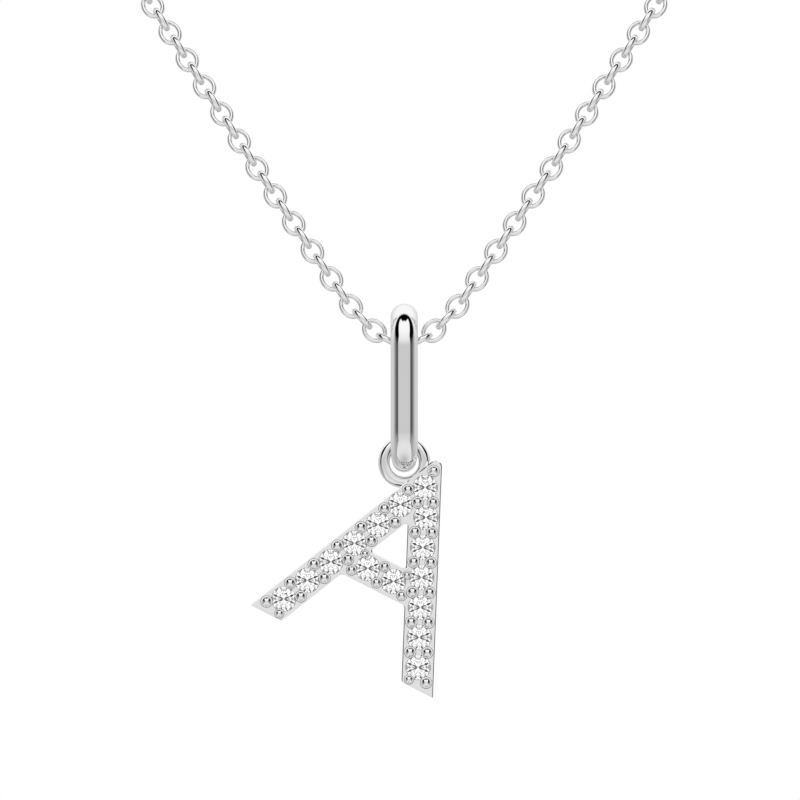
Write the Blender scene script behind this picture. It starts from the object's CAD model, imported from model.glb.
import math

import bpy
import numpy as np
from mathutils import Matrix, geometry

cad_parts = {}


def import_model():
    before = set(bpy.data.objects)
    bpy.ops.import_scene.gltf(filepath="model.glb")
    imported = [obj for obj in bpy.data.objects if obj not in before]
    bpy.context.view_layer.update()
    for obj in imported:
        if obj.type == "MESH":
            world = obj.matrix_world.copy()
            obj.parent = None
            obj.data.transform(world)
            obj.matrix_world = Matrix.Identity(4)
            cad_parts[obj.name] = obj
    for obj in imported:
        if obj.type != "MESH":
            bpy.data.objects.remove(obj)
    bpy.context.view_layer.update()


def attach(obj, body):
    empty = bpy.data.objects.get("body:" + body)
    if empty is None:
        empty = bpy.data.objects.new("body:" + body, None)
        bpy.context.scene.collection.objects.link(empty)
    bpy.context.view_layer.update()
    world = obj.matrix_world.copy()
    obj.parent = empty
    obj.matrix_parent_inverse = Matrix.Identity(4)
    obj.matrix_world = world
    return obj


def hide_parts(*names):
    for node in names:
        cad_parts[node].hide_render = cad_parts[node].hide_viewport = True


# Every length below is in millimetres in the model's own frame, and every angle in radians, unless a
# comment says otherwise. x is to the right, y away from the viewer and z up.
MM = 0.001

# The letter's plate, in the letter's own frame: the top stone's centre is the origin, u goes to the right
# and v up its axis
LEG_W = 1.6
LEG_ANGLE = math.radians(24.75)
FOOT_DROP = 9.2
BAR_DROP = 4.9
BAR_W = 1.65
PLATE_T = 1.15
LEAN = math.radians(27)
TIP_R, TOE_R, CROTCH_R, HOLE_R = 0.32, 0.2, 0.25, 0.1
BEVEL_W, BEVEL_ANGLE = 0.045, math.radians(36)
CORNER_STEPS = 10
# Edges that turn by more than this are drawn sharp
SHARP_ANGLE = math.radians(32)

STONE_D = 1.25
LEG_STONES = 6
# A leg's first stone from the top one, how far it stands out, and the last one from the foot
FIRST_PITCH, FIRST_SPREAD, END_MARGIN = 1.5, 0.09, 1.13
BAR_STONE_X = 0.72
# The cut: the table's width and the heights of crown and pavilion as shares of the diameter, and the radii
# of the crown's middle ring and the pavilion's lower ring as shares of the radius
TABLE_SHARE, CROWN_SHARE, PAVILION_SHARE = 0.54, 0.175, 0.415
CROWN_RING_SHARE, LOW_RING_SHARE = 0.8, 0.26
GIRDLE_T = 0.04
MAINS = 8
HALF_FACET = math.pi / MAINS
# How far the girdle lies below the plate's front, and the seat's air under the stone and round it
STONE_SINK = 0.08
SEAT_GAP, SEAT_FIT, SEAT_TIP_R = 0.03, 0.004, 0.01
SEAT_SIDES = 64

# The grains: a bead on a low collar, with a graved line round it
GRAIN_D, GRAIN_SIDE, GRAIN_SINK = 0.56, 0.43, 0.04
GRAIN_SIDES = 40
# The collar's height, the width of its worn edge, and how far that edge's two corners lie below its top
COLLAR_RISE, COLLAR_EDGE_W, COLLAR_EDGE_DROPS = 0.02, 0.008, (0.004, 0.002)
# How far the collar reaches under the bead
COLLAR_LAP = 0.01
# A bead from its top down: the slope at the end of each arc in degrees, and the arc's radius
BEAD_ARCS = ((26, 0.2), (50, 0.4), (96, 0.11))
ARC_ROWS = 7
BEAD_TIP_R = 0.002
RIM_W, RIM_RISE = 0.05, 0.006
# The grains above the top stone and below it, at the feet, on the crossbar and in the opening's corners
TOP_GRAIN_V, FORK_GRAIN_V = 0.93, 0.84
TOE_GRAIN_D, TOE_GRAIN_UP = 0.45, 0.13
BAR_GRAIN_D, BAR_GRAIN_SIDE, BAR_GRAIN_X, BAR_GRAIN_SPLAY = 0.5, 0.45, 1.29, 0.115
CORNER_GRAIN_D, CORNER_GRAIN_SIDE = 0.4, 0.58

# The ring on the letter's shoulder: its centre lies RING_OUT outside the left leg's edge
RING_HOLE_D, RING_WIRE, RING_OUT, RING_ALONG = 1.44, 0.585, 0.84, 0.04
RING_MESH = (128, 40)

# The bail and, last, the centre of the letter's ring, both measured from the middle link
BEND_R = 1.418
TOP_BEND_Z, LOW_BEND_Z = -0.035, -4.34
BAIL_R, BAIL_LOW_R, BAIL_LOW_SPREAD = 0.682, 0.61, math.radians(55)
BEND_STEPS, SIDE_STEPS, BAIL_SIDES = 64, 24, 64
RING_Z = -5.86

# The chain's way from the middle link to the nape, measured from the middle link
ROUTE = [
    (0, 0, 0), (0.83, 0.02, 0.21), (1.55, 0.06, 0.77), (2.7, 0.2, 1.98), (3.67, 0.4, 3.36),
    (6.47, 1.3, 7.5), (12.6, 4.8, 17), (24.5, 12.5, 35.5), (36.5, 21.5, 54), (47.5, 32.5, 72),
    (55, 46.5, 88), (57, 63, 100), (52.5, 81, 109.5), (42, 97, 116), (27, 108.5, 119.5),
    (12, 114, 121.5), (0, 115.5, 122),
]
ROUTE_STEPS = 10
# The centres of the middle link and of the clasp
MIDDLE = np.array([0.0, -114.95, -122.0])
NAPE = np.array([0.0, 0.55, 0.0])
BACKWARD = np.array([0.0, 1.0, 0.0])
TINY = 1e-9

# The links: the first of the two numbers of a mesh goes round the link, the second round its wire
LINK_L, LINK_W, LINK_WIRE, LINK_DEPTH, LINK_PITCH = 1.385, 1.15, 0.235, 0.3, 0.85
# The links' roll, which grows over the first few on each side
LINK_ROLL, ROLL_LINKS = math.radians(5), 4
# The links in front, on each side of the middle one
SIDE_LINKS = 28
FRONT_LINK_MESH, BACK_LINK_MESH = (40, 14), (24, 8)
# The air between the last link and the eyelet's wire
LAST_LINK_PLAY = 0.02

CLASP_D, CLASP_WIRE, CLASP_MESH = 5.5, 1.1, (96, 32)
EYELET_HOLE_D, EYELET_WIRE, EYELET_X, EYELET_MESH = 0.8, 0.45, 3.2625, (64, 20)

# The floor, and the camera: what it looks at (x, z), how wide it sees there and from how far
FLOOR_SIDES, FLOOR_R, FLOOR_AT = 96, 250.0, (0.0, -60.0, -160.0)
PHOTO_CENTRE, PHOTO_WIDTH, CAMERA_REACH = (-0.21, -124.75), 40.0, 1500.0
SENSOR = 36.0
CLIP_METRES = (0.1, 50)

# The metals' colours and roughness
SILVER = (0.95, 0.95, 0.955)
BRIGHT_SILVER = (0.96, 0.96, 0.965)
SATIN_SILVER = (0.985, 0.985, 0.985)
GRAVED_SILVER = (0.15, 0.15, 0.15)
POLISH, SETTING_POLISH, CHAIN_POLISH, COLLAR_POLISH, SATIN, GRAVED = 0.03, 0.04, 0.025, 0.12, 0.34, 0.4
# The slopes by which the front face and the collars seem to be turned up
FACE_DISH, COLLAR_DISH = 0.13, 0.24
# Unevenness of the polish: cells a metre, detail, the darkest tone and the spread of the roughness
UNEVEN_SCALE, UNEVEN_DETAIL, UNEVEN_TONE, UNEVEN_ROUGHNESS = 900, 3, 0.985, (0.7, 1.3)
# Hair-fine marks: cells a metre, strength, and depth in metres
MARK_SCALE, MARK_STRENGTH, MARK_DEPTH = 2600, 0.05, 0.000002
STONE_IOR, STONE_CLOUD_SCALE, STONE_TONES = 2.42, 500, (0.985, 1)
FLOOR_ROUGHNESS, FLOOR_CLOUD_SCALE, FLOOR_TONES = 0.9, 12, (0.93, 0.96)

# The metals' light by elevation in degrees: of the panels in front, of the arch of dark flags, and behind
FRONT_LIGHT = [
    (-90, 0.48), (-82, 0.53), (-71, 0.62), (-55, 0.77), (-40, 0.82), (-29, 0.78), (-15, 0.715), (-8, 0.68),
    (-3, 0.62), (2, 0.61), (8, 0.72), (16, 0.84), (30, 0.93), (42, 0.99), (90, 1.0),
]
FLAG_LIGHT = [
    (-90, 0.5), (-71, 0.57), (-55, 0.5), (-40, 0.45), (-29, 0.38), (-12, 0.27), (0, 0.1), (11, 0.035),
    (20, 0.0), (90, 0.0),
]
BACK_LIGHT = [(-90, 0.3), (-45, 0.42), (-12, 0.62), (4, 0.68), (20, 0.85), (40, 1.0), (90, 1.0)]
# Where the flags begin and where they fade out, in degrees from the viewer's direction: at the sides,
# overhead and below. The tip is the narrow part of the arch straight above the viewer.
FLAG_INNER, FLAG_INNER_TIP, FLAG_SOFT = (52, 84, 112), 72, 4
FLAG_FADE_FROM, FLAG_FADE_TO = (64, 94, 118), (112, 103, 132)
# How high a direction lies round the viewer's: 1 straight above, 0 at the side, -1 straight below. Each part
# sets in between two values of it, for LOW with the sign turned. LEAST_AROUND is its least divisor.
LEAST_AROUND = 0.001
ARCH_SETS_IN, TIP_SETS_IN, FADE_SETS_IN, LOW_SETS_IN = (0.45, 0.95), (0.925, 0.985), (0.1, 0.5), (0.35, 0.9)
# The light for the rays that leave a stone: white, with a dark strip level with the viewer and grey panels
# round it. A panel runs from one angle to another off the viewer's direction, and from one to another
# round it, up from the side. All in degrees.
STONE_WHITE = 1.4
STRIP_HEIGHT, STRIP_EDGE, STRIP_REACH, STRIP_GREY = 3.0, 1, 26, 0.1
STONE_PANELS = [((40, 117), (-25, -8), 0.5), ((26, 110), (34, 120), 0.43), ((26, 107), (-120, -30), 0.45)]
STONE_SOFT = 4


# ---------------------------------------------------------------- meshes
class Shells:
    """Collects shells in millimetres for one mesh."""

    def __init__(self):
        self.points, self.faces = [], []

    def add(self, points, faces):
        first = len(self.points)
        self.points.extend(points)
        self.faces.extend([tuple(first + i for i in f) for f in faces])
        return self


def add_piece(name, body, material, shells, replaces, smooth=True):
    """A mesh object of shells, riding on a body of the frame in place of one of its nodes."""
    mesh = bpy.data.meshes.new(name)
    mesh.from_pydata((np.asarray(shells.points, float) * MM).tolist(), [], [list(f) for f in shells.faces])
    mesh.validate()
    mesh.polygons.foreach_set("use_smooth", [smooth] * len(mesh.polygons))
    mesh.materials.append(material)
    obj = bpy.data.objects.new(name, mesh)
    bpy.context.scene.collection.objects.link(obj)
    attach(obj, body)
    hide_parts(*replaces)
    return obj


def mark_sharp(obj):
    """Edges that turn by more than the sharp angle are drawn sharp, the others smooth."""
    mesh = obj.data
    normals = {}
    for poly in mesh.polygons:
        for key in poly.edge_keys:
            normals.setdefault(key, []).append(poly.normal.copy())
    sharp = []
    for edge in mesh.edges:
        pair = normals.get(tuple(sorted(edge.vertices)), [])
        sharp.append(len(pair) == 2 and pair[0].angle(pair[1], 0.0) > SHARP_ANGLE)
    mesh.attributes.new("sharp_edge", "BOOLEAN", "EDGE").data.foreach_set("value", sharp)
    mesh.update()


def ring_faces(rings, sides, closed=True):
    """Quads that join rings of points one after the other, and the last to the first."""
    faces = []
    for j in range(rings if closed else rings - 1):
        a, b = j * sides, (j + 1) % rings * sides
        faces += [(a + k, a + (k + 1) % sides, b + (k + 1) % sides, b + k) for k in range(sides)]
    return faces


def unit(v):
    return np.asarray(v, float) / np.linalg.norm(v)


def upright_ring(centre, mean_r, wire, rings, sides):
    """Points and faces of a ring of round wire that stands upright and faces the viewer."""
    points = []
    for j in range(rings):
        t = 2 * math.pi * j / rings
        out = np.array([math.cos(t), 0.0, math.sin(t)])
        for k in range(sides):
            w = 2 * math.pi * k / sides
            along = out * (mean_r + wire / 2 * math.cos(w))
            points.append(centre + along + BACKWARD * wire / 2 * math.sin(w))
    return points, ring_faces(rings, sides)


# ---------------------------------------------------------------- the chain
def route_curve():
    """The smooth curve from the middle link to the nape, and the length up to each point."""
    flip = np.array([-1.0, 1, 1])
    route = [np.array(p, float) for p in ROUTE]
    p = np.array([route[1] * flip, *route, route[-2] * flip])
    chord = np.linalg.norm(np.diff(p, axis=0), axis=1)
    slope = np.diff(p, axis=0) / chord[:, None]
    points = []
    for i in range(1, len(p) - 2):
        m0 = (slope[i] * chord[i - 1] + slope[i - 1] * chord[i]) / (chord[i - 1] + chord[i])
        m1 = (slope[i + 1] * chord[i] + slope[i] * chord[i + 1]) / (chord[i] + chord[i + 1])
        for k in range(ROUTE_STEPS):
            t = k / ROUTE_STEPS
            points.append(
                (2 * t**3 - 3 * t**2 + 1) * p[i] + (3 * t**2 - 2 * t**3) * p[i + 1]
                + ((t**3 - 2 * t**2 + t) * m0 + (t**3 - t**2) * m1) * chord[i]
            )
    points.append(p[-2])
    points = np.array(points)
    lengths = np.concatenate([[0], np.cumsum(np.linalg.norm(np.diff(points, axis=0), axis=1))])
    return points, lengths


CURVE, LENGTHS = route_curve()


def at(s):
    """The place on the chain's middle line at a length from the middle link, left or right."""
    half = np.array([np.interp(abs(s), LENGTHS, CURVE[:, a]) for a in range(3)])
    if s < 0:
        half[0] = -half[0]
    return MIDDLE + half


def link(start, end, across, turns, sides):
    """Points and faces of one oval link whose middle lies between two places on the chain."""
    along = unit(end - start)
    across = unit(across - along * (across @ along))
    normal = np.cross(along, across)
    a, b = (LINK_L - LINK_WIRE) / 2, (LINK_W - LINK_WIRE) / 2
    centre = (start + end) / 2
    points = []
    for j in range(turns):
        t = 2 * math.pi * j / turns
        out = unit(along * b * math.cos(t) + across * a * math.sin(t))
        middle = centre + along * a * math.cos(t) + across * b * math.sin(t)
        for k in range(sides):
            w = 2 * math.pi * k / sides
            points.append(middle + out * math.cos(w) * LINK_WIRE / 2 + normal * math.sin(w) * LINK_DEPTH / 2)
    return points, ring_faces(turns, sides)


def front_frame(n):
    """The ends of link n in front, and the direction across it: face-on and edge-on by turns."""
    start, end = at((n - 0.5) * LINK_PITCH), at((n + 0.5) * LINK_PITCH)
    along = unit(end - start)
    flat_on = unit(np.cross(along, BACKWARD))
    edge_on = np.cross(along, flat_on)
    roll = LINK_ROLL * min(1, abs(n) / ROLL_LINKS)
    if n % 2 == 0:
        return start, end, flat_on * math.cos(roll) - edge_on * math.sin(roll)
    return start, end, edge_on * math.cos(roll) + flat_on * math.sin(roll)


def front_links():
    shells = Shells()
    for n in range(-SIDE_LINKS, SIDE_LINKS + 1):
        shells.add(*link(*front_frame(n), *FRONT_LINK_MESH))
    return shells


def carried(across, old, new):
    """A direction carried along from one tangent to the next without twisting."""
    axis = np.cross(old, new)
    s = np.linalg.norm(axis)
    if s < TINY:
        return across
    axis = axis / s
    angle = math.atan2(s, old @ new)
    return (
        across * math.cos(angle)
        + np.cross(axis, across) * math.sin(angle)
        + axis * (axis @ across) * (1 - math.cos(angle))
    )


def back_frames(side):
    """Each link round the neck on one side: its two ends, its direction and the untwisted one across."""
    start_s = (SIDE_LINKS + 0.5) * LINK_PITCH
    eyelet_s = LENGTHS[-1] - (EYELET_X + (EYELET_HOLE_D + EYELET_WIRE) / 2)
    end_s = eyelet_s + EYELET_WIRE / 2 + LINK_WIRE + LAST_LINK_PLAY - (LINK_L - LINK_PITCH) / 2
    count = round((end_s - start_s) / LINK_PITCH)
    pitch = (end_s - start_s) / count
    _, _, across = front_frame(side * SIDE_LINKS)
    old = unit(at(side * start_s) - at(side * (start_s - LINK_PITCH)))
    frames = []
    for n in range(count):
        start, end = at(side * (start_s + n * pitch)), at(side * (start_s + (n + 1) * pitch))
        along = unit(end - start)
        across = unit(carried(across, old, along))
        old = along
        frames.append((start, end, along, across))
    return frames


def roll_to_eyelet(frames):
    """The whole roll that brings the last link square to the clasp's eyelet."""
    _, _, along, across = frames[-1]
    wanted = BACKWARD if len(frames) % 2 == 0 else np.cross(along, BACKWARD)
    wanted = unit(wanted - along * (wanted @ along))
    roll = math.atan2(np.cross(across, wanted) @ along, across @ wanted)
    return (roll + math.pi / 2) % math.pi - math.pi / 2


def back_links(side):
    """The links round the neck on one side. The last one passes through the clasp's eyelet."""
    shells = Shells()
    frames = back_frames(side)
    roll = roll_to_eyelet(frames)
    for n, (start, end, along, across) in enumerate(frames):
        turn = roll * (n + 1) / len(frames) + (math.pi / 2 if n % 2 == 0 else 0)
        aim = across * math.cos(turn) + np.cross(along, across) * math.sin(turn)
        shells.add(*link(start, end, aim, *BACK_LINK_MESH))
    return shells


def build_chain(material):
    add_piece("chain_front_links", "chain", material, front_links(), ["chain_front"])
    for side, word in ((1, "left"), (-1, "right")):
        name = "chain_back_links_" + word
        add_piece(name, "chain", material, back_links(side), ["chain_back"])


def build_clasp(material):
    """A plain ring with an eyelet on each side."""
    shells = Shells().add(*upright_ring(NAPE, (CLASP_D - CLASP_WIRE) / 2, CLASP_WIRE, *CLASP_MESH))
    for side in (1, -1):
        centre = NAPE + np.array([side * EYELET_X, 0, 0])
        shells.add(*upright_ring(centre, (EYELET_HOLE_D + EYELET_WIRE) / 2, EYELET_WIRE, *EYELET_MESH))
    add_piece("clasp_rings", "chain", material, shells, ["clasp"])


# ---------------------------------------------------------------- the bail
def bail_wire_r(turn):
    """The wire's radius at a turn along the bail's bends, a little less in the middle of the lower one."""
    low = max(0.0, 1 - abs(turn - 1.5 * math.pi) / BAIL_LOW_SPREAD)
    return BAIL_R + (BAIL_LOW_R - BAIL_R) * low * low * (3 - 2 * low)


def bail_line():
    """The bail's middle line in the plane x = 0: each entry is (y, z, outward y, outward z, wire radius)."""
    line = []
    for bend_z, next_z, first in ((TOP_BEND_Z, LOW_BEND_Z, 0.0), (LOW_BEND_Z, TOP_BEND_Z, math.pi)):
        for k in range(BEND_STEPS + 1):
            turn = first + math.pi * k / BEND_STEPS
            out_y, out_z = -math.cos(turn), math.sin(turn)
            line.append((BEND_R * out_y, bend_z + BEND_R * out_z, out_y, out_z, bail_wire_r(turn)))
        side = -math.cos(first + math.pi)
        for k in range(1, SIDE_STEPS):
            z = bend_z + (next_z - bend_z) * k / SIDE_STEPS
            line.append((BEND_R * side, z, side, 0.0, BAIL_R))
    return line


def build_bail(material):
    line = bail_line()
    points = []
    for y, z, out_y, out_z, wire_r in line:
        for k in range(BAIL_SIDES):
            w = 2 * math.pi * k / BAIL_SIDES
            points.append(MIDDLE + np.array([
                wire_r * math.sin(w), y + out_y * wire_r * math.cos(w), z + out_z * wire_r * math.cos(w)
            ]))
    shells = Shells().add(points, ring_faces(len(line), BAIL_SIDES))
    add_piece("bail_loop", "bail", material, shells, ["bail"])


# ---------------------------------------------------------------- the letter's places
def leg_point(along, across=0.0):
    """A place on the right leg: along it from the top stone, and across it towards the outside."""
    return np.array([
        math.sin(LEG_ANGLE) * along + math.cos(LEG_ANGLE) * across,
        -math.cos(LEG_ANGLE) * along + math.sin(LEG_ANGLE) * across,
    ])


# How far above the top stone the legs' outer edges meet, and how far below it their inner ones
EDGE_APEX = LEG_W / 2 / math.sin(LEG_ANGLE)
STONE_PITCH = (FOOT_DROP / math.cos(LEG_ANGLE) - FIRST_PITCH - END_MARGIN) / (LEG_STONES - 1)
RING_AT = leg_point(RING_ALONG, LEG_W / 2 + RING_OUT) * [-1, 1]
SEAT_R = STONE_D / 2 + SEAT_FIT
FRONT = PLATE_T / 2


def hang(u, v, h):
    """A place in the letter's frame, h in front of the plate's middle, put where the letter hangs."""
    du, dv = u - RING_AT[0], v - RING_AT[1]
    return MIDDLE + np.array([
        du * math.cos(LEAN) + dv * math.sin(LEAN), -h, RING_Z - du * math.sin(LEAN) + dv * math.cos(LEAN)
    ])


def stone_places():
    """The places of the stones in the order of their numbers."""
    places = [np.array([0.0, 0.0])]
    for n in range(1, LEG_STONES + 1):
        p = leg_point(FIRST_PITCH + (n - 1) * STONE_PITCH)
        if n == 1:
            p = p + [FIRST_SPREAD, FIRST_SPREAD / 2]
        places += [p * [-1, 1], p]
    return places + [np.array([s * BAR_STONE_X, -BAR_DROP]) for s in (-1, 1)]


def leg_grains():
    """Pairs of grains beside each leg's stones. The inner one is smaller at the toe and left out on top."""
    grains = []
    for n in range(LEG_STONES + 1):
        for q in (-1, 1):
            if n or q > 0:
                up, d = (TOE_GRAIN_UP, TOE_GRAIN_D) if n == LEG_STONES and q < 0 else (0, GRAIN_D)
                p = leg_point(FIRST_PITCH / 2 + n * STONE_PITCH - up, q * GRAIN_SIDE)
                grains += [(p * [-1, 1], d), (p, d)]
    return grains


def bar_grains():
    """Three grains below the crossbar's stones and three above them, of which the outer two are smaller."""
    low_x, high_x = BAR_GRAIN_X + BAR_GRAIN_SPLAY, BAR_GRAIN_X - BAR_GRAIN_SPLAY
    low_v, high_v = -BAR_DROP - BAR_GRAIN_SIDE, -BAR_DROP + BAR_GRAIN_SIDE
    grains = [(np.array([x * low_x, low_v]), BAR_GRAIN_D) for x in (-1, 0, 1)]
    grains.append((np.array([0, high_v]), BAR_GRAIN_D))
    return grains + [
        (np.array([x * high_x, -BAR_DROP + CORNER_GRAIN_SIDE]), CORNER_GRAIN_D) for x in (-1, 1)
    ]


def grain_places():
    """Each grain's place and diameter."""
    middle = [(np.array([0, TOP_GRAIN_V]), GRAIN_D), (np.array([0, -FORK_GRAIN_V]), GRAIN_D)]
    return middle + leg_grains() + bar_grains()


# ---------------------------------------------------------------- the letter's outlines
def outer_u(v):
    """Half the letter's width between the legs' outer edges at a height."""
    return (EDGE_APEX - v) * math.tan(LEG_ANGLE)


def inner_u(v):
    """Half the width between the legs' inner edges at a height."""
    return (-EDGE_APEX - v) * math.tan(LEG_ANGLE)


def rounded(corners):
    """A closed line through corners given as (u, v, radius), each rounded by its radius."""
    line = []
    for i, (u, v, r) in enumerate(corners):
        p = np.array([u, v])
        a = unit(np.array(corners[i - 1][:2]) - p)
        b = unit(np.array(corners[(i + 1) % len(corners)][:2]) - p)
        if r == 0:
            line.append(p)
            continue
        half = math.acos(max(-1.0, min(1.0, a @ b))) / 2
        centre = p + unit(a + b) * r / math.sin(half)
        start, end = p + a * r / math.tan(half) - centre, p + b * r / math.tan(half) - centre
        sweep = math.atan2(start[0] * end[1] - start[1] * end[0], start @ end)
        for k in range(CORNER_STEPS + 1):
            t = sweep * k / CORNER_STEPS
            turn = np.array([[math.cos(t), -math.sin(t)], [math.sin(t), math.cos(t)]])
            line.append(centre + turn @ start)
    return line


def letter_outlines():
    """The outer line, counter-clockwise, and that of the closed opening, clockwise."""
    low, bar_low, bar_top = -FOOT_DROP, -BAR_DROP - BAR_W / 2, -BAR_DROP + BAR_W / 2
    outer = rounded([
        (0, EDGE_APEX, TIP_R), (-outer_u(low), low, 0), (-inner_u(low), low, TOE_R),
        (-inner_u(bar_low), bar_low, CROTCH_R), (inner_u(bar_low), bar_low, CROTCH_R),
        (inner_u(low), low, TOE_R), (outer_u(low), low, 0),
    ])
    opening = rounded([
        (0, -EDGE_APEX, HOLE_R), (inner_u(bar_top), bar_top, HOLE_R), (-inner_u(bar_top), bar_top, HOLE_R),
    ])
    return outer, opening


def inset(line, by):
    """A closed line moved to its left side by a distance."""
    moved = []
    for i, p in enumerate(line):
        a, b = p - line[i - 1], line[(i + 1) % len(line)] - p
        na, nb = unit([-a[1], a[0]]), unit([-b[1], b[0]])
        moved.append(p + (na + nb) * by / (1 + na @ nb))
    return moved


def seat_edge(centre):
    """The edge of a stone's seat on the plate's front, clockwise."""
    angles = [-2 * math.pi * k / SEAT_SIDES for k in range(SEAT_SIDES)]
    return [centre + SEAT_R * np.array([math.cos(t), math.sin(t)]) for t in angles]


def flat(loops, h, up):
    """Points and triangles of a flat face bounded by loops, at a height."""
    flat_points = [p for loop in loops for p in loop]
    triangles = geometry.tessellate_polygon([[(p[0], p[1], 0.0) for p in loop] for loop in loops])
    faces = []
    for a, b, c in triangles:
        pa, pb, pc = flat_points[a], flat_points[b], flat_points[c]
        turn = (pb[0] - pa[0]) * (pc[1] - pa[1]) - (pb[1] - pa[1]) * (pc[0] - pa[0])
        faces.append((a, b, c) if (turn > 0) == up else (a, c, b))
    return [hang(p[0], p[1], h) for p in flat_points], faces


def edge_wall(line):
    """The bevelled edges and the wall along one outline, front to back."""
    rings = []
    for side in (1, -1):
        rows = [
            (inset(line, BEVEL_W), side * FRONT),
            (line, side * (FRONT - BEVEL_W * math.tan(BEVEL_ANGLE))),
        ]
        rings += rows if side > 0 else rows[::-1]
    points = [hang(p[0], p[1], h) for row, h in rings for p in row]
    return points, ring_faces(len(rings), len(line), closed=False)


# ---------------------------------------------------------------- lathed forms on the letter
def lathe(profile, centre, sides):
    """Points and quads of a profile of (radius, height) turned about the letter's normal at a place."""
    points = []
    for r, h in profile:
        for k in range(sides):
            t = 2 * math.pi * k / sides
            points.append(hang(centre[0] + r * math.cos(t), centre[1] + r * math.sin(t), h))
    return points, ring_faces(len(profile), sides, closed=False)


def capped_lathe(profile, centre, sides):
    """A lathed form closed with a point at the end of its profile."""
    points, faces = lathe(profile, centre, sides)
    tip = len(points)
    points.append(hang(centre[0], centre[1], profile[-1][1]))
    first = (len(profile) - 1) * sides
    faces += [(first + k, first + (k + 1) % sides, tip) for k in range(sides)]
    return points, faces


def seat_profile():
    """A stone's seat: straight down past the girdle, then a cone under the pavilion."""
    low = FRONT - STONE_SINK - GIRDLE_T
    tip = low - PAVILION_SHARE * STONE_D - 2 * SEAT_GAP
    return [(SEAT_R, FRONT), (SEAT_R, low - SEAT_GAP), (SEAT_TIP_R, tip)]


def bead_profile(d):
    """A grain's bead, from the plate up: three arcs, each with its own radius."""
    bead, last, rho, drop = [], 0.0, 0.0, 0.0
    for slope, radius in BEAD_ARCS:
        end = math.radians(slope)
        for k in range(1, ARC_ROWS + 1):
            now = end * k / ARC_ROWS + last * (1 - k / ARC_ROWS)
            bead.append((
                rho + radius * (math.sin(now) - math.sin(last)),
                drop + radius * (math.cos(last) - math.cos(now)),
            ))
        last, (rho, drop) = end, bead[-1]
    size, foot = d / GRAIN_D, FRONT + COLLAR_RISE
    rows = [(r * size, foot + (drop - z) * size) for r, z in reversed(bead)]
    return [(rho * size, FRONT), *rows, (BEAD_TIP_R, foot + drop * size)]


def collar_profile(d):
    """The low collar round a bead, as wide as the whole grain."""
    top = FRONT + COLLAR_RISE
    bead_r = bead_profile(d)[0][0]
    return [
        (d / 2, FRONT - GRAIN_SINK), (d / 2, top - COLLAR_EDGE_DROPS[0]),
        (d / 2 - COLLAR_EDGE_W, top - COLLAR_EDGE_DROPS[1]), (bead_r - COLLAR_LAP, top),
    ]


def rim_profile(d):
    """The dark line that a graver leaves round a grain."""
    inner, outer, low, high = d / 2 - RIM_W / 2, d / 2 + RIM_W / 2, FRONT - GRAIN_SINK, FRONT + RIM_RISE
    return [(inner, low), (inner, high), (outer, high), (outer, low)]


# ---------------------------------------------------------------- the letter's pieces
def add_setting(name, material, shells, smooth=True):
    return add_piece(name, "letter", material, shells, ["letter_setting"], smooth)


def build_plate(material, satin):
    """The satin faces, the polished edges and the stones' seats."""
    outlines = letter_outlines()
    edges = [inset(line, BEVEL_W) for line in outlines]
    seats = [seat_edge(p) for p in stone_places()]
    faces = Shells().add(*flat(edges + seats, FRONT, True)).add(*flat(edges, -FRONT, False))
    add_setting("letter_faces", satin, faces, smooth=False)
    walls = Shells()
    for line in outlines:
        walls.add(*edge_wall(line))
    for p in stone_places():
        walls.add(*lathe(seat_profile(), p, SEAT_SIDES))
    mark_sharp(add_setting("letter_edges", material, walls))


def build_grains(material, bright, dark):
    """The beads, their collars and the graved lines round them."""
    beads, collars, rims = Shells(), Shells(), Shells()
    for p, d in grain_places():
        beads.add(*capped_lathe(bead_profile(d), p, GRAIN_SIDES))
        collars.add(*lathe(collar_profile(d), p, GRAIN_SIDES))
        rims.add(*lathe(rim_profile(d), p, GRAIN_SIDES))
    mark_sharp(add_setting("letter_grains", material, beads))
    add_setting("letter_collars", bright, collars, smooth=False)
    add_setting("letter_grain_rims", dark, rims, smooth=False)


def build_letter_ring(material):
    centre = hang(RING_AT[0], RING_AT[1], 0)
    ring = upright_ring(centre, (RING_HOLE_D + RING_WIRE) / 2, RING_WIRE, *RING_MESH)
    add_setting("letter_ring", material, Shells().add(*ring))


# ---------------------------------------------------------------- the stones
def brilliant_points(centre, turn):
    """A round brilliant with its girdle's top a little below the plate's front."""
    r = STONE_D / 2
    table_r, table_z = TABLE_SHARE * r, CROWN_SHARE * STONE_D
    crown_r = CROWN_RING_SHARE * r
    crown_z = table_z * (r - crown_r * math.cos(HALF_FACET)) / (r - table_r)
    depth = PAVILION_SHARE * STONE_D
    culet_z = -GIRDLE_T - depth
    low_r = LOW_RING_SHARE * r
    low_z = culet_z + depth * low_r * math.cos(HALF_FACET) / r
    girdle_top = FRONT - STONE_SINK

    def ring(n, radius, z, start):
        angles = [turn + start + 2 * math.pi * k / n for k in range(n)]
        return [
            hang(centre[0] + radius * math.cos(t), centre[1] + radius * math.sin(t), girdle_top + z)
            for t in angles
        ]

    points = ring(MAINS, table_r, table_z, 0) + ring(MAINS, crown_r, crown_z, HALF_FACET)
    points += ring(2 * MAINS, r, 0, 0) + ring(2 * MAINS, r, -GIRDLE_T, 0)
    points += ring(MAINS, low_r, low_z, HALF_FACET)
    return points + [hang(centre[0], centre[1], girdle_top + culet_z)]


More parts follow.
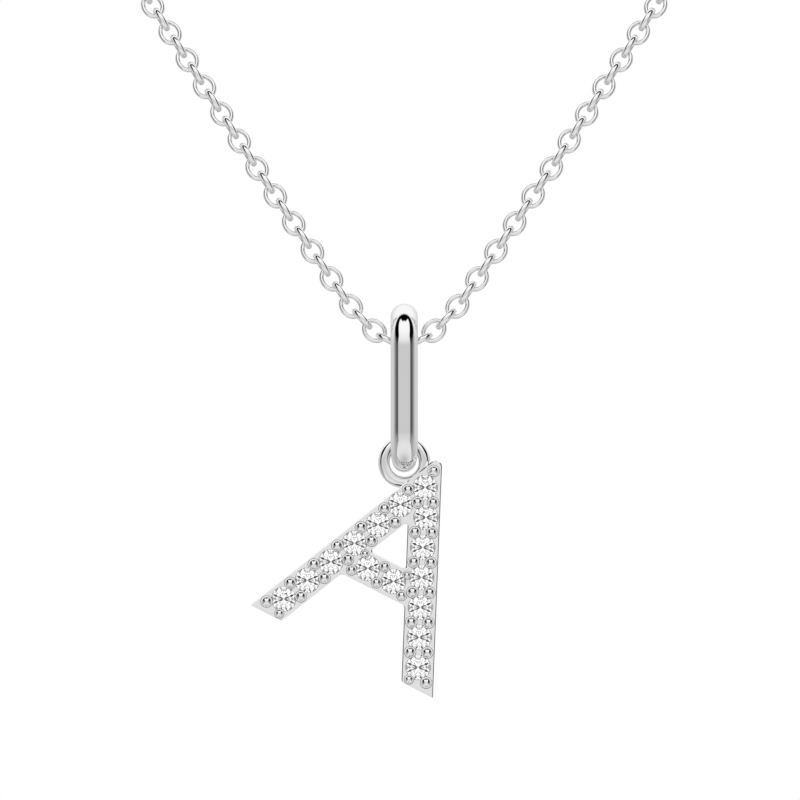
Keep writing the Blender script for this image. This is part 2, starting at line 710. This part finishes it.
def brilliant_faces():
    """The facets between the rings: table, crown ring, girdle's top and foot, pavilion ring and culet."""
    crown, girdle, foot, low, culet = (n * MAINS for n in (1, 2, 4, 6, 7))
    around = 2 * MAINS
    faces = [tuple(range(MAINS))]
    for k in range(MAINS):
        after, before = (k + 1) % MAINS, (k + MAINS - 1) % MAINS
        here, half, there = 2 * k, 2 * k + 1, (2 * k + 2) % around
        faces += [
            (after, k, crown + k),
            (k, crown + before, girdle + here, crown + k),
            (crown + k, girdle + here, girdle + half),
            (crown + k, girdle + half, girdle + there),
            (low + k, foot + half, foot + here),
            (low + k, foot + there, foot + half),
            (culet, low + k, foot + here, low + before),
        ]
    for k in range(around):
        after = (k + 1) % around
        faces.append((girdle + after, girdle + k, foot + k, foot + after))
    return faces


def build_stones(material):
    for n, p in enumerate(stone_places(), 1):
        name = f"stone_{n:02d}"
        shells = Shells().add(brilliant_points(p, LEAN + HALF_FACET), brilliant_faces())
        add_piece(name + "_cut", "letter", material, shells, [name], smooth=False)


# ---------------------------------------------------------------- node graphs
class Graph:
    """Short forms for the nodes of a material or of the studio's light."""

    def __init__(self, tree):
        self.nodes, self.links = tree.nodes, tree.links

    def put(self, socket, value):
        """Sets a socket to a number, or links another socket to it."""
        if isinstance(value, (int, float)):
            socket.default_value = value
        else:
            self.links.new(value, socket)

    def node(self, kind, **inputs):
        """A node with some of its inputs set or linked, named with _ for a space."""
        node = self.nodes.new(kind)
        for name, value in inputs.items():
            self.put(node.inputs[name.replace("_", " ")], value)
        return node

    def place(self, output):
        return self.nodes.new("ShaderNodeTexCoord").outputs[output]

    def split(self, vector):
        return self.node("ShaderNodeSeparateXYZ", Vector=vector).outputs

    def noise(self, place, scale, detail=2):
        """Clouds between 0 and 1."""
        return self.node("ShaderNodeTexNoise", Vector=place, Scale=scale, Detail=detail).outputs["Fac"]

    def math(self, operation, *values):
        node = self.nodes.new("ShaderNodeMath")
        node.operation = operation
        for socket, value in zip(node.inputs, values):
            self.put(socket, value)
        return node.outputs[0]

    def smooth(self, value, low, high):
        """0 below low, 1 above high, and smooth between them. The limits may be sockets."""
        node = self.node("ShaderNodeMapRange")
        node.interpolation_type = "SMOOTHSTEP"
        self.put(node.inputs["Value"], value)
        self.put(node.inputs["From Min"], low)
        self.put(node.inputs["From Max"], high)
        return node.outputs["Result"]

    def ramp(self, value, stops):
        """A colour that follows stops of (position from 0 to 1, colour)."""
        node = self.node("ShaderNodeValToRGB", Fac=value)
        elements = node.color_ramp.elements
        elements[0].position, elements[-1].position = 0, 1
        for position, colour in stops[1:-1]:
            elements.new(position).color = (*colour, 1)
        elements[0].color = (*stops[0][1], 1)
        elements[len(elements) - 1].color = (*stops[-1][1], 1)
        return node.outputs["Color"]

    def blend(self, share, low, high):
        """low where the share is 0 and high where it is 1."""
        return self.math("ADD", self.math("MULTIPLY", share, high),
                         self.math("MULTIPLY", self.math("SUBTRACT", 1.0, share), low))


def grey(tone):
    return (tone, tone, tone)


# ---------------------------------------------------------------- materials
def shader(name):
    """A new material, its graph, the place on the object as a socket, and the shader's inputs."""
    material = bpy.data.materials.new(name)
    material.use_nodes = True
    graph = Graph(material.node_tree)
    return material, graph, graph.place("Object"), graph.nodes["Principled BSDF"].inputs


def polished_metal(name, colour, roughness, dish=0.0):
    """Metal with a slightly uneven polish and hair-fine marks. A dished one faces up by a small slope."""
    material, graph, place, inputs = shader(name)
    inputs["Metallic"].default_value = 1.0
    uneven = graph.noise(place, UNEVEN_SCALE, UNEVEN_DETAIL)
    darkest = [c * UNEVEN_TONE for c in colour]
    graph.put(inputs["Base Color"], graph.ramp(uneven, [(0, darkest), (1, colour)]))
    low, high = (roughness * share for share in UNEVEN_ROUGHNESS)
    polish = graph.node("ShaderNodeMapRange", Value=uneven, To_Min=low, To_Max=high)
    graph.put(inputs["Roughness"], polish.outputs["Result"])
    marks = graph.noise(place, MARK_SCALE)
    bump = graph.node("ShaderNodeBump", Strength=MARK_STRENGTH, Distance=MARK_DEPTH, Height=marks)
    if dish:
        height = graph.split(place)["Z"]
        slope = graph.node("ShaderNodeBump", Strength=1.0, Distance=dish, Height=height)
        slope.invert = True
        graph.put(bump.inputs["Normal"], slope.outputs["Normal"])
    graph.put(inputs["Normal"], bump.outputs["Normal"])
    return material


def cloudy_colour(graph, place, scale, tones):
    """A grey that drifts between two tones."""
    darker, lighter = tones
    return graph.ramp(graph.noise(place, scale), [(0, grey(darker)), (1, grey(lighter))])


def stone_glass():
    material, graph, place, inputs = shader("stone")
    inputs["Transmission Weight"].default_value = 1.0
    inputs["IOR"].default_value = STONE_IOR
    inputs["Roughness"].default_value = 0.0
    graph.put(inputs["Base Color"], cloudy_colour(graph, place, STONE_CLOUD_SCALE, STONE_TONES))
    return material


def floor_material():
    material, graph, place, inputs = shader("studio_floor")
    inputs["Roughness"].default_value = FLOOR_ROUGHNESS
    graph.put(inputs["Base Color"], cloudy_colour(graph, place, FLOOR_CLOUD_SCALE, FLOOR_TONES))
    return material


# ---------------------------------------------------------------- the studio
def by_elevation(graph, elevation, stops):
    """The light at an elevation, from stops of (degrees, grey)."""
    height = graph.math("ADD", graph.math("DIVIDE", elevation, math.pi), 0.5)
    return graph.ramp(height, [((degrees + 90) / 180, grey(tone)) for degrees, tone in stops])


def metal_light(graph, x, z, elevation, theta):
    """A tent of panels in front, an arch of dark flags beyond them, and what is behind."""
    around = graph.math("SQRT", graph.math("ADD", graph.math("MULTIPLY", x, x), graph.math("MULTIPLY", z, z)))
    topness = graph.math("DIVIDE", z, graph.math("MAXIMUM", around, LEAST_AROUND))
    arch, tip, above = (graph.smooth(topness, *s) for s in (ARCH_SETS_IN, TIP_SETS_IN, FADE_SETS_IN))
    below = graph.smooth(graph.math("MULTIPLY", topness, -1.0), *LOW_SETS_IN)

    def limit(angles, share):
        side, top, low = map(math.radians, angles)
        return graph.blend(below, graph.blend(share, side, top), low)

    inner = graph.blend(tip, limit(FLAG_INNER, arch), math.radians(FLAG_INNER_TIP))
    soft = math.radians(FLAG_SOFT)
    rise = graph.smooth(theta, graph.math("SUBTRACT", inner, soft), graph.math("ADD", inner, soft))
    fall = graph.smooth(theta, limit(FLAG_FADE_FROM, above), limit(FLAG_FADE_TO, above))
    front, flags, back = (by_elevation(graph, elevation, s) for s in (FRONT_LIGHT, FLAG_LIGHT, BACK_LIGHT))
    return graph.blend(fall, graph.blend(rise, front, flags), back)


def stone_light(graph, x, z, elevation, theta):
    """White, with grey panels round the viewer and a dark strip level with the viewer."""
    side = graph.math("ARCTAN2", z, graph.math("ABSOLUTE", x))
    soft = math.radians(STONE_SOFT)

    def beyond(value, angle):
        return graph.smooth(value, math.radians(angle) - soft, math.radians(angle) + soft)

    def within(value, low, high):
        return graph.math("MULTIPLY", beyond(value, low), graph.math("SUBTRACT", 1.0, beyond(value, high)))

    light = STONE_WHITE
    for off, up, tone in STONE_PANELS:
        light = graph.blend(graph.math("MULTIPLY", within(theta, *off), within(side, *up)), light, tone)
    outer, inner = (math.radians(STRIP_HEIGHT + s * STRIP_EDGE) for s in (1, -1))
    level = graph.smooth(graph.math("ABSOLUTE", elevation), outer, inner)
    strip = graph.math("MULTIPLY", level, graph.math("SUBTRACT", 1.0, beyond(theta, STRIP_REACH)))
    return graph.blend(strip, light, STRIP_GREY)


def build_studio():
    """White to the camera, with one light for the metals and another for rays that leave a stone."""
    world = bpy.data.worlds.new("studio")
    bpy.context.scene.world = world
    world.use_nodes = True
    graph = Graph(world.node_tree)
    graph.nodes.clear()
    x, y, z = graph.split(graph.place("Generated"))
    elevation = graph.math("ARCSINE", z)
    # the angle off the viewer's direction
    theta = graph.math("ARCCOSINE", graph.math("MULTIPLY", y, -1.0))
    path = graph.nodes.new("ShaderNodeLightPath").outputs
    lights = [light(graph, x, z, elevation, theta) for light in (metal_light, stone_light)]
    light = graph.blend(path["Is Transmission Ray"], *lights)
    background = graph.node("ShaderNodeBackground", Color=graph.blend(path["Is Camera Ray"], light, 1.0))
    graph.node("ShaderNodeOutputWorld", Surface=background.outputs[0])


def build_floor():
    x, y, z = FLOOR_AT
    angles = [2 * math.pi * k / FLOOR_SIDES for k in range(FLOOR_SIDES)]
    points = [((x + FLOOR_R * math.cos(t)) * MM, (y + FLOOR_R * math.sin(t)) * MM, z * MM) for t in angles]
    mesh = bpy.data.meshes.new("floor")
    mesh.from_pydata(points, [], [tuple(range(FLOOR_SIDES))])
    mesh.materials.append(floor_material())
    floor = bpy.data.objects.new("floor", mesh)
    bpy.context.scene.collection.objects.link(floor)
    floor.visible_glossy = False
    floor.visible_transmission = False


def build_camera():
    """A level camera straight in front, as in the photo."""
    data = bpy.data.cameras.new("camera")
    data.sensor_width = SENSOR
    data.lens = SENSOR * CAMERA_REACH / PHOTO_WIDTH
    data.clip_start, data.clip_end = CLIP_METRES
    camera = bpy.data.objects.new("camera", data)
    camera.location = (PHOTO_CENTRE[0] * MM, (MIDDLE[1] - CAMERA_REACH) * MM, PHOTO_CENTRE[1] * MM)
    camera.rotation_euler = (math.pi / 2, 0, 0)
    bpy.context.scene.collection.objects.link(camera)
    bpy.context.scene.camera = camera


def build_pendant():
    silver = polished_metal("silver", SILVER, POLISH)
    setting = polished_metal("setting_silver", SILVER, SETTING_POLISH)
    build_chain(polished_metal("chain_silver", SILVER, CHAIN_POLISH))
    build_clasp(silver)
    build_bail(silver)
    build_plate(setting, polished_metal("satin_silver", SATIN_SILVER, SATIN, FACE_DISH))
    bright = polished_metal("bright_silver", BRIGHT_SILVER, COLLAR_POLISH, COLLAR_DISH)
    build_grains(setting, bright, polished_metal("graved_silver", GRAVED_SILVER, GRAVED))
    build_letter_ring(setting)
    build_stones(stone_glass())


def main():
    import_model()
    bpy.context.scene.view_settings.view_transform = "Standard"
    build_camera()
    build_studio()
    build_floor()
    build_pendant()


main()
